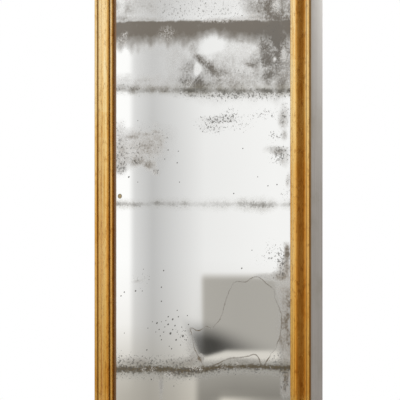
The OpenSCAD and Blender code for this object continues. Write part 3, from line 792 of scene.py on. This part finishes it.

# %% Silver: specks, spots, flecks and the dark edge, lost silver with a painted reflection of the rebate
level = add(tree, "Math", {0: thick_in, 1: -0.17, 2: 0.67}, operation="MULTIPLY_ADD")
over = add(tree, "Math", {0: scatter, 1: level}, operation="SUBTRACT")
rim, edge_gap = (add(tree, "Math", {0: grit, 1: share, 2: gap}, operation="MULTIPLY_ADD")
                 for gap, share in ((spot_in, 0.9), (sight_in, 1.0)))
contour = add(tree, "Math", {0: lacework, 1: 0.5}, operation="SUBTRACT")
contour = add(tree, "Math", {0: contour}, operation="ABSOLUTE")
# the edge line is lost silver along the rebate, with a painted reflection of the rebate's dark wall
specks, some, spots, flaked, flaked_heart, lace, lit, dark_edge_and_reflection = (
    add(tree, "MapRange", {"Value": value, "From Min": start, "From Max": full, "To Max": most})
    for value, start, full, most in (
        (over, 0.0, 0.06, 0.8), (thick_in, 0.02, 0.12, 1.0), (rim, 1.95, 1.4, 0.9), (flaked_in, 8.2, 7.2, 0.95),
        (flaked_in, 6.4, 4.6, 0.8), (contour, 0.045, 0.015, 1.0), (grit, 0.56, 0.66, 1.0),
        (edge_gap, 7.0, 5.2, 0.99)))
specks = add(tree, "Math", {0: specks, 1: some}, operation="MULTIPLY")
lace = add(tree, "Math", {0: lace, 1: lit}, operation="MAXIMUM")
lace = add(tree, "Math", {0: lace, 1: fleck_in}, operation="MULTIPLY")
print(len(tree.nodes), "nodes so far")

# %% Silver: colours and shader
grey, salts = (add(tree, "Mix", {"Factor": warm_in, "A": linear(cool), "B": linear(warm)}, data_type="RGBA")
               for cool, warm in (("#6b6761", "#857866"), ("#5c5a54", "#61543b")))
LAYERS = [(tarnish, grey), (halo, linear("#8d8775")), (stroke, salts), (thread, linear("#7a6e5d")),
          (lace, linear("#ebe8e3")), (specks, linear("#5c5954")), (spots, linear("#45413a")),
          (flaked, linear("#6f5f3c")), (flaked_heart, linear("#b29a68")), (dark_edge_and_reflection, linear("#7d5528"))]
surface, gone = linear("#fbfbf9"), 0.0
for amount, colour in LAYERS:
    surface = add(tree, "Mix", {"Factor": amount, "A": surface, "B": colour}, data_type="RGBA")
    gone = add(tree, "Math", {0: gone, 1: amount}, operation="MAXIMUM")
shine = add(tree, "Math", {0: gone, 1: -0.92, 2: 1.0}, operation="MULTIPLY_ADD")
dull = add(tree, "Math", {0: tarnish, 1: 0.3, 2: 0.02}, operation="MULTIPLY_ADD")
shader = add(tree, "BsdfPrincipled", {
    "Base Color": surface, "Metallic": shine, "Roughness": dull, "Specular IOR Level": 0.2, "Coat Weight": 1.0,
    "Coat Roughness": 0.02, "Coat IOR": 1.5})
add(tree, "OutputMaterial", {"Surface": shader})
plate.data.materials.append(silver)
print(silver.name, len(tree.nodes), "nodes")

# %% [markdown]
# ## The woods
#
# The inner frame, rails and blocks are pine, sawn and lightly planed, gone honey brown; the backboards are
# rougher and dirtier; the corner slips and setting blocks are oak. Growth rings are drawn as contour lines
# of a slow noise stretched along the grain, which gives the flames and stripes of a flat-sawn board, and a
# second, finer noise gives the fibres. Real fibres are too fine to show, so they are drawn 1.6 mm wide. One
# function builds them all, because only grain, colour and roughness change.

# %% Wood
RING_PHASE = 75.0       # radians over the whole range of the slow noise, about a dozen rings


def stretched(axis, length, width):
    """The scale of a pattern that is so long along one axis and so wide across it, in millimetres."""
    return per_mm(*(length if name == axis else width for name in "XYZ"))


def wood(name, axis, pale, deep, ring_width, dirt):
    """Sawn timber with its grain along one axis."""
    made, tree = new_material(name)
    where = add(tree, "TexCoord").node.outputs["Object"]
    slow, fibres = (
        add(tree, "TexNoise", {
            "Vector": add(tree, "Mapping", {"Vector": where, "Scale": stretched(axis, length, width)}),
            "Scale": 1.0, "Detail": detail})
        for length, width, detail in ((700, ring_width * 6, 1.5), (55, 1.6, 3.0)))
    rings = add(tree, "Math", {0: slow, 1: RING_PHASE}, operation="MULTIPLY")
    rings = add(tree, "Math", {0: rings}, operation="SINE")
    tone = add(tree, "Math", {0: rings, 1: 0.16, 2: 0.1}, operation="MULTIPLY_ADD")
    tone = add(tree, "Math", {0: fibres, 1: 0.7, 2: tone}, operation="MULTIPLY_ADD", use_clamp=True)
    grime = add(tree, "TexNoise", {"Vector": where, "Scale": per_mm(90), "Detail": 5.0, "Roughness": 0.6})
    grime = add(tree, "MapRange", {"Value": grime, "From Min": 0.42, "From Max": 0.75, "To Max": dirt})
    colour = linear(pale)
    for amount, over in ((tone, deep), (grime, "#3b2d20")):
        colour = add(tree, "Mix", {"Factor": amount, "A": colour, "B": linear(over)}, data_type="RGBA")
    rough = add(tree, "Math", {0: fibres, 1: 0.3, 2: 0.55}, operation="MULTIPLY_ADD")
    relief = add(tree, "Bump", {"Height": tone, "Strength": 0.4, "Distance": 0.4 * MM})
    shader = add(tree, "BsdfPrincipled", {"Base Color": colour, "Roughness": rough, "Normal": relief})
    add(tree, "OutputMaterial", {"Surface": shader})
    return made


print(f"about {RING_PHASE / math.tau:.0f} rings in a board")

# %% The timbers
pine_level, pine_upright = (
    wood(f"old planed pine, grain {lie}", axis, "#b98d58", "#8a5f33", 7, 0.45)
    for lie, axis in (("level", "X"), ("upright", "Z")))
oak = wood("oak slips", "X", "#9a7a4d", "#6c5130", 4, 0.3)
boards = [wood("rough backboard pine, " + tint, "X", pale, deep, 9, 0.7) for tint, pale, deep in (
    ("brown", "#94714a", "#694a2c"), ("grey", "#8f7657", "#665039"), ("red", "#96693f", "#6b4526"))]
print(len(boards) + 3, "woods")


# %% [markdown]
# ## Paint and iron
#
# The case is brushed with distemper, chalk and pigment bound with glue: dead matt, streaked by the brush
# and easily chipped and stained. The marks of single bristles are too fine to show, so the streaks are
# drawn 4 mm wide. The hangers, nails and screws are forged iron blackened with oil, which rusts brown in
# patches. Its metal keeps the usual IOR, and its roughness changes with the rust.

# %% Distemper
def distemper(name, axis):
    """Grey distemper brushed along one axis."""
    made, tree = new_material(name)
    where = add(tree, "TexCoord").node.outputs["Object"]
    parts = add(tree, "SeparateXYZ", {0: where}).node.outputs
    brush = add(tree, "Mapping", {"Vector": where, "Scale": stretched(axis, 260, 4)})
    brush = add(tree, "TexNoise", {"Vector": brush, "Scale": 1.0, "Detail": 4.0})
    stain, chip = (
        add(tree, "TexNoise", {
            "Vector": where, "Scale": per_mm(size), "Detail": detail, "Roughness": roughness})
        for size, detail, roughness in ((150, 6.0, 0.6), (9, 5.0, 0.7)))
    # painted light: the paint is made lighter towards the wall and towards the top, where more light falls, so
    # two ranges in metres multiply
    stain, behind, above, chip = (
        add(tree, "MapRange", {"Value": value, "From Min": start, "From Max": full, "To Max": most})
        for value, start, full, most in (
            (stain, 0.5, 0.8, 0.6), (parts["Y"], -31 * MM, 52 * MM, 1.0), (parts["Z"], 1.05, 1.8, 1.0),
            (chip, 0.7, 0.73, 0.8)))
    painted_light_gradient = add(tree, "Math", {0: behind, 1: above}, operation="MULTIPLY")
    colour = linear("#beb8b2")
    for amount, over in ((brush, "#9f9992"), (stain, "#8e8573"), (painted_light_gradient, "#eeebe7"), (chip, "#77613f")):
        colour = add(tree, "Mix", {"Factor": amount, "A": colour, "B": linear(over)}, data_type="RGBA")
    rough = add(tree, "Math", {0: brush, 1: 0.15, 2: 0.75}, operation="MULTIPLY_ADD")
    height = add(tree, "Math", {0: brush, 1: chip}, operation="SUBTRACT")
    relief = add(tree, "Bump", {"Height": height, "Strength": 0.3, "Distance": 0.3 * MM})
    shader = add(tree, "BsdfPrincipled", {"Base Color": colour, "Roughness": rough, "Normal": relief})
    add(tree, "OutputMaterial", {"Surface": shader})
    return made


paint_upright = distemper("grey distemper, brushed upright", "Z")
paint_level = distemper("grey distemper, brushed level", "X")
print(len(paint_level.node_tree.nodes), "nodes in each paint")

# %% Iron
iron, tree = new_material("blackened iron with rust")
where = add(tree, "TexCoord").node.outputs["Object"]
hammer = add(tree, "TexNoise", {"Vector": where, "Scale": per_mm(5), "Detail": 3.0})
rust = add(tree, "TexNoise", {"Vector": where, "Scale": per_mm(12), "Detail": 6.0, "Roughness": 0.7})
rust = add(tree, "MapRange", {"Value": rust, "From Min": 0.48, "From Max": 0.66})
colour = linear("#2a2725")
for amount, over in ((hammer, "#4a4542"), (rust, "#5b3620")):
    colour = add(tree, "Mix", {"Factor": amount, "A": colour, "B": linear(over)}, data_type="RGBA")
metal = add(tree, "Math", {0: rust, 1: -0.7, 2: 0.85}, operation="MULTIPLY_ADD")
rough = add(tree, "Math", {0: rust, 1: 0.35, 2: 0.45}, operation="MULTIPLY_ADD")
relief = add(tree, "Bump", {"Height": hammer, "Strength": 0.5, "Distance": 0.4 * MM})
shader = add(tree, "BsdfPrincipled", {
    "Base Color": colour, "Metallic": metal, "Roughness": rough, "Normal": relief})
add(tree, "OutputMaterial", {"Surface": shader})
print(iron.name, len(tree.nodes), "nodes")

# %% [markdown]
# ## Finish the pieces that keep their meshes
#
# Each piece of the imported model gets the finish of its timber, paint or iron, with the grain along its
# length. A real arris is never perfectly sharp: a weld joins each piece's loose triangles, and a small
# bevel on the sharp edges catches the light.

# %% Give each kept piece its finish and soft edges
FINISHES = [
    (paint_upright, "case_left_side case_right_side"),
    (paint_level, "case_top_board case_bottom_board"),
    (oak, "mitre_keys setting_blocks"),
    (pine_upright, "corner_blocks glazing_blocks subframe_left_stile subframe_right_stile"),
    (pine_level, "subframe_top_rail subframe_bottom_rail hanging_rail middle_rail lower_rail"),
    (iron, "moulding_screws case_screws backboard_nails rail_screws hanger_screws"),
    (iron, "hanger_plate_left hanger_plate_right hanger_ring_left hanger_ring_right")]
finishes = {name: finish for finish, names in FINISHES for name in names.split()}
# the backboards' three tints follow one another in no plain order
finishes |= {f"backboard_{n}": boards[n * 2 % 3 if n % 4 else n % 3] for n in range(1, 13)}
# how many millimetres the sharp edges have lost, by the first word of the name
ARRIS = {"case": 1.2, "subframe": 0.8, "backboard": 1.0, "hanging": 1.5, "middle": 1.5, "lower": 1.5,
         "corner": 0.8, "glazing": 0.5, "setting": 0.4, "hanger": 0.3}
for name, finish in finishes.items():
    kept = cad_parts[name]
    kept.data.materials.clear()
    kept.data.materials.append(finish)
    words = name.split("_")
    if words[0] in ARRIS and not {"screws", "nails", "ring"} & set(words):
        weld = kept.modifiers.new("join triangles", "WELD")
        weld.merge_threshold = 0.01 * MM
        bevel = kept.modifiers.new("soft arris", "BEVEL")
        bevel.width, bevel.segments, bevel.limit_method = ARRIS[words[0]] * MM, 2, "ANGLE"
        bevel.angle_limit = math.radians(50)
print(len(finishes), "kept pieces,", len(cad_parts) - len(finishes), "modelled again")

# %% [markdown]
# ## The room
#
# Gold and silvering show what stands round them, so the room is part of the look. A tent of paper stands
# round the object and only reflections see it. The glass sees a narrow stretch of it, which grades from
# white to a soft grey like a bright room; the right-hand slopes of the moulding see a dark stretch, which
# gives gold its deep browns. The tent is a grid bent round into a drum, with most of its vertices in the
# stretch that the glass sees, and each vertex carries the colour of its paper.

# %% Tent: its shape, and where the glass looks
TENT_R = 4.0
TURNS = ([-0.5, -0.2, 0.2, 0.5], [-180, -38, -18, 180])         # place on the grid to degrees round the tent
RISES = ([-0.5, -0.1, 0.3, 0.5], [-1.5, 0.4, 0.95, 4.0])        # place on the grid to metres above the floor
GLASS_EDGE = 312

clear_selection()
bpy.ops.mesh.primitive_grid_add(x_subdivisions=480, y_subdivisions=200, size=1)
tent = bpy.context.object
tent.name = "tent"
at = np.empty(len(tent.data.vertices) * 3)
tent.data.vertices.foreach_get("co", at)
at = at.reshape(-1, 3)
turned, rise = np.interp(at[:, 0], *TURNS), np.interp(at[:, 1], *RISES)
around = np.radians(turned)
drum = np.stack([np.sin(around) * TENT_R, -np.cos(around) * TENT_R, rise], axis=1)
tent.data.vertices.foreach_set("co", drum.ravel())


def seen_in_glass(x_mm):
    """The direction on the tent, in degrees, that the camera sees in the glass at this X."""
    start = Vector((x_mm * MM, FACE_Y))
    ray = (start - camera.location.xy).normalized()
    ray.y = -ray.y
    ahead = -start.dot(ray)
    hit = start + ray * (ahead + math.sqrt(ahead ** 2 + TENT_R ** 2 - start.length_squared))
    return math.degrees(math.atan2(hit.x, -hit.y))


across_glass = np.linspace(-500, 500, 51)
glass_x = np.interp(turned, [seen_in_glass(x) for x in across_glass], across_glass)
glass_z = (MID_Z + (rise - MID_Z) * CAMERA_AWAY / (CAMERA_AWAY + TENT_R)) / MM
print(f"the glass sees {seen_in_glass(-GLASS_EDGE):.1f} to {seen_in_glass(GLASS_EDGE):.1f} degrees of the tent")

# %% Tent: light from side to side, in a bright upper part and a dim lower one
HIGH_IN_GLASS = [(-312, 1.02), (-258, 1.02), (-240, 0.70), (-175, 0.53), (-70, 0.71), (10, 0.85), (250, 0.93)]
LOW_IN_GLASS = [(-312, 0.50), (-186, 0.38), (-100, 0.44), (-30, 0.55), (-8, 0.26), (120, 0.22)]
LOW_ROOM = [(450, 1.0), (520, 0.85), (600, 0.5), (680, 0.2), (760, 0.1), (880, 0.0)]
BRIGHTER_ABOVE, BRIGHTER_BY = (1150, 1400), 0.12
# soft shade on the right: its share of the dim light, where its left side is and where its top is
SHADE_SHARE, SHADE_SIDE, SHADE_TOP = 0.72, (-14, 12), (814, 846)

high, low = (np.interp(glass_x, *zip(*stops)) for stops in (HIGH_IN_GLASS, LOW_IN_GLASS))
high = 1 - (1 - high) * (1 - BRIGHTER_BY * smooth(glass_z, *BRIGHTER_ABOVE))
dim = np.maximum(np.interp(glass_z, *zip(*LOW_ROOM)),
                 SHADE_SHARE * smooth(glass_x, *SHADE_SIDE) * (1 - smooth(glass_z, *SHADE_TOP)))
level = high * (1 - dim) + low * dim
print(f"levels from {level.min():.2f} to {level.max():.2f}")

# %% Tent: a dark wedge in the shade, and pale strips under it
# the wedge widens by a millimetre for each millimetre below its spread's start, up to the spread
WEDGE_X, WEDGE_W, WEDGE_SPREAD_START, WEDGE_SPREAD, WEDGE_DARK = 32, 99, 650, 40, 0.86
WEDGE_TOP, WEDGE_TOP_FALL, WEDGE_TOP_SOFT = 698, 0.22, 75
WEDGE_LEAN_FROM, WEDGE_LEAN, WEDGE_SIDE = 641, 0.58, (-56, -32)
STRIP_X, STRIP_Z, STRIP_TILT, STRIP_TILT_MOST, STRIP_SOFT, STRIP_LIGHT = 18, 572, 0.25, 17, 14, 0.27
STRIP_SIDE, STRIP_FOOT, LOW_PALE_TOP = (-20, 25), (556, 572), (446, 460)
LOW_PALE = [(20, 0), (50, 0.07), (75, 0.55), (110, 0.48), (150, 0.34), (187, 0.19), (230, 0.1), (300, 0.08)]

strip_top = STRIP_Z + np.clip((glass_x - STRIP_X) * STRIP_TILT, 0, STRIP_TILT_MOST)
over_strip = smooth(glass_z, strip_top, strip_top + STRIP_SOFT)
wedge_w = WEDGE_W + np.clip(WEDGE_SPREAD_START - glass_z, 0, WEDGE_SPREAD)
wedge = (np.exp(-((glass_x - WEDGE_X) / wedge_w) ** 2) * over_strip
         * smooth(WEDGE_TOP - WEDGE_TOP_FALL * (glass_x - STRIP_X) - glass_z, 0, WEDGE_TOP_SOFT)
         * smooth(glass_x - (WEDGE_LEAN_FROM - glass_z) * WEDGE_LEAN, *WEDGE_SIDE))
level *= 1 - WEDGE_DARK * wedge
level += STRIP_LIGHT * smooth(glass_x, *STRIP_SIDE) * smooth(glass_z, *STRIP_FOOT) * (1 - over_strip)
level += np.interp(glass_x, *zip(*LOW_PALE)) * (1 - smooth(glass_z, *LOW_PALE_TOP))
print(f"darkest level {level.min():.2f}")

# %% Tent: its colours in the glass, and brown and white paper past the glass
WARMTH_OF_DIM = np.array((0.0, 0.055, 0.16))        # how much less red, green and blue the dim part has
LEFT_OF_GLASS = [(0.9, 0.74), (1.15, 0.76), (1.3, 0.8), (1.46, 0.93), (1.62, 1.0)]
RIGHT_OF_GLASS = [(-22, "#fbf8f2"), (-12, "#f6ead4"), (0, "#e6cfa8"), (12, "#caaa75"), (24, "#a2814d"),
                  (36, "#856533"), (58, "#806231"), (72, "#947645"), (110, "#b59d72"), (152, "#dcc9a3"),
                  (172, "#f4f2ee")]
LOW_ON_RIGHT = ([0.2, 1.5], [0.85, 1.0])
glass_end = seen_in_glass(GLASS_EDGE)

tones = level[:, None] * (1 - dim[:, None] * WARMTH_OF_DIM)
turns = [turn for turn, _ in RIGHT_OF_GLASS]
colours = np.array([linear(colour) for _, colour in RIGHT_OF_GLASS])
right = np.stack([np.interp(turned, turns, colours[:, i]) for i in range(3)], axis=1)
right *= np.interp(rise, *LOW_ON_RIGHT)[:, None]
left = np.interp(rise, *zip(*LEFT_OF_GLASS))[:, None]
for past, paper in ((smooth(turned, glass_end + 0.5, glass_end + 4), right), (smooth(-turned, 36, 48), left)):
    tones = tones * (1 - past[:, None]) + paper * past[:, None]
room = tent.data.attributes.new("room", "FLOAT_COLOR", "POINT")
room.data.foreach_set("color", np.c_[tones, np.ones(len(tones))].astype(np.float32).ravel())
print(f"tent of {len(tent.data.polygons)} faces, levels {tones.min():.2f} to {tones.max():.2f}")

# %% Tent: paper that only reflections see
for way in ("camera", "diffuse", "transmission", "volume_scatter", "shadow"):
    setattr(tent, f"visible_{way}", False)
paper, tree = new_material("lit paper of the tent")
tone = add(tree, "Attribute", attribute_name="room")
glow = add(tree, "Emission", {"Color": tone, "Strength": 1.0})
add(tree, "OutputMaterial", {"Surface": glow})
paper.cycles.emission_sampling = "NONE"
tent.data.materials.append(paper)
tent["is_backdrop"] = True
print(tent.name, "carries", paper.name)

# %% [markdown]
# ## Floor, lamps and world
#
# The rest of the studio is plain: a pale matt floor that fades to white, soft boxes, and a white world.
# Light Path lets camera and reflections see the world as white while it lights the object less.

# %% Floor
FLOOR_SIZE, FADE_START, FADE_END = 7.6, 1.2, 3.4

clear_selection()
bpy.ops.mesh.primitive_plane_add(size=FLOOR_SIZE)
floor = bpy.context.object
floor.name = "floor"
pale, tree = new_material("pale matt floor")
where = add(tree, "TexCoord").node.outputs["Object"]
away = add(tree, "VectorMath", {0: where}, operation="LENGTH")
edge = add(tree, "MapRange", {"Value": away, "From Min": FADE_START, "From Max": FADE_END},
           interpolation_type="SMOOTHSTEP")
matt = add(tree, "BsdfPrincipled", {"Base Color": linear("#eceae7"), "Roughness": 0.9})
white = add(tree, "Emission", {"Strength": 1.0})
both = add(tree, "MixShader", {0: edge, 1: matt, 2: white})
add(tree, "OutputMaterial", {"Surface": both})
floor.data.materials.append(pale)
floor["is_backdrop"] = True
print(f"floor of {FLOOR_SIZE} m")


# %% Lamps
def lamp(name, place, aim_at, size, power):
    """A soft box."""
    data = bpy.data.lights.new(name, "AREA")
    data.shape = "RECTANGLE"
    data.size, data.size_y = size
    data.energy = power
    made = bpy.data.objects.new(name, data)
    made.location = place
    made.rotation_euler = (Vector(aim_at) - Vector(place)).to_track_quat("-Z", "Y").to_euler()
    made.visible_glossy = False
    bpy.context.scene.collection.objects.link(made)


lamp("key", (-2.2, -2.2, 3.0), (0, 0, 1.2), (1.6, 1.6), 60)
lamp("side", (1.35, 0.65, 2.75), (0.38, 0, 1.5), (0.6, 0.6), 14)
print(len(bpy.data.lights), "lamps")

# %% World
world = bpy.data.worlds.new("white room")
bpy.context.scene.world = world
world.use_nodes = True
tree = world.node_tree
tree.nodes.clear()
rays = add(tree, "LightPath").node.outputs
seen = rays["Is Camera Ray"]
for ray in ("Is Glossy Ray", "Is Transmission Ray"):
    seen = add(tree, "Math", {0: seen, 1: rays[ray]}, operation="MAXIMUM")
tone = add(tree, "Mix", {"Factor": seen, "A": (0.44, 0.44, 0.44, 1), "B": (1, 1, 1, 1)}, data_type="RGBA")
sky = add(tree, "Background", {"Color": tone, "Strength": 1.0})
add(tree, "OutputWorld", {"Surface": sky})
bpy.context.scene.view_settings.view_transform = "Standard"
print(world.name, "of", len(tree.nodes), "nodes")

# %% Bounds of the object
low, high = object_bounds()
